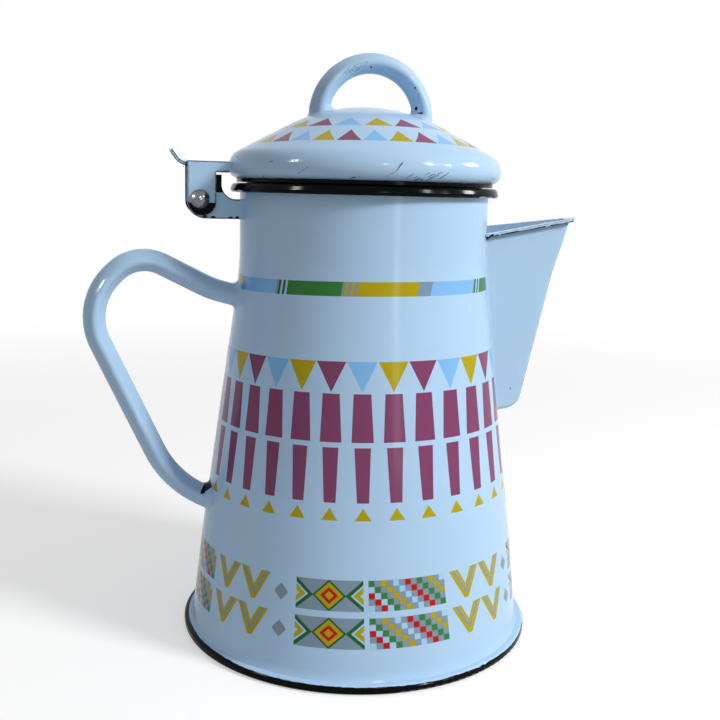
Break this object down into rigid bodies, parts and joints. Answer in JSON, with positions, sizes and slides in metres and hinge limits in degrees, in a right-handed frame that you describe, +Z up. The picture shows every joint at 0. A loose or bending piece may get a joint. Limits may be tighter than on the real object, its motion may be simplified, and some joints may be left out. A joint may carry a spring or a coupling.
{
  "type": "enamel coffee jug with hinged lid",
  "caption": "Tall tapered enamelled steel jug with a V spout, strap handle and a hinged domed lid with a bow grip.",
  "frame": {"origin": "centre of the flat base, on the surface it stands on", "axes": "+X towards the spout, the handle and the hinge at -X, +Z up along the axis of the pot"},
  "size_m": [0.1964, 0.14, 0.2258],
  "materials": {
    "white_enamel": "glossy",
    "black_enamel": "glossy",
    "rivet_steel": "satin"
  },
  "bodies": {
    "pot": {"body_shell": "white_enamel", "base_pan": "black_enamel", "spout_shell": "white_enamel", "handle_tube": "white_enamel", "body_hinge_bracket": "white_enamel", "hinge_rivet": "rivet_steel"},
    "lid": {"lid_dome": "white_enamel", "lid_collar": "black_enamel", "lid_bow": "white_enamel", "lid_hinge_bracket": "white_enamel"}
  },
  "joints": [
    {"name": "lid_hinge", "type": "hinge", "parent": "pot", "child": "lid", "pos_m": [-0.064, 0, 0.1695], "axis": [0, -1, 0], "range_deg": [0, 112]}
  ]
}
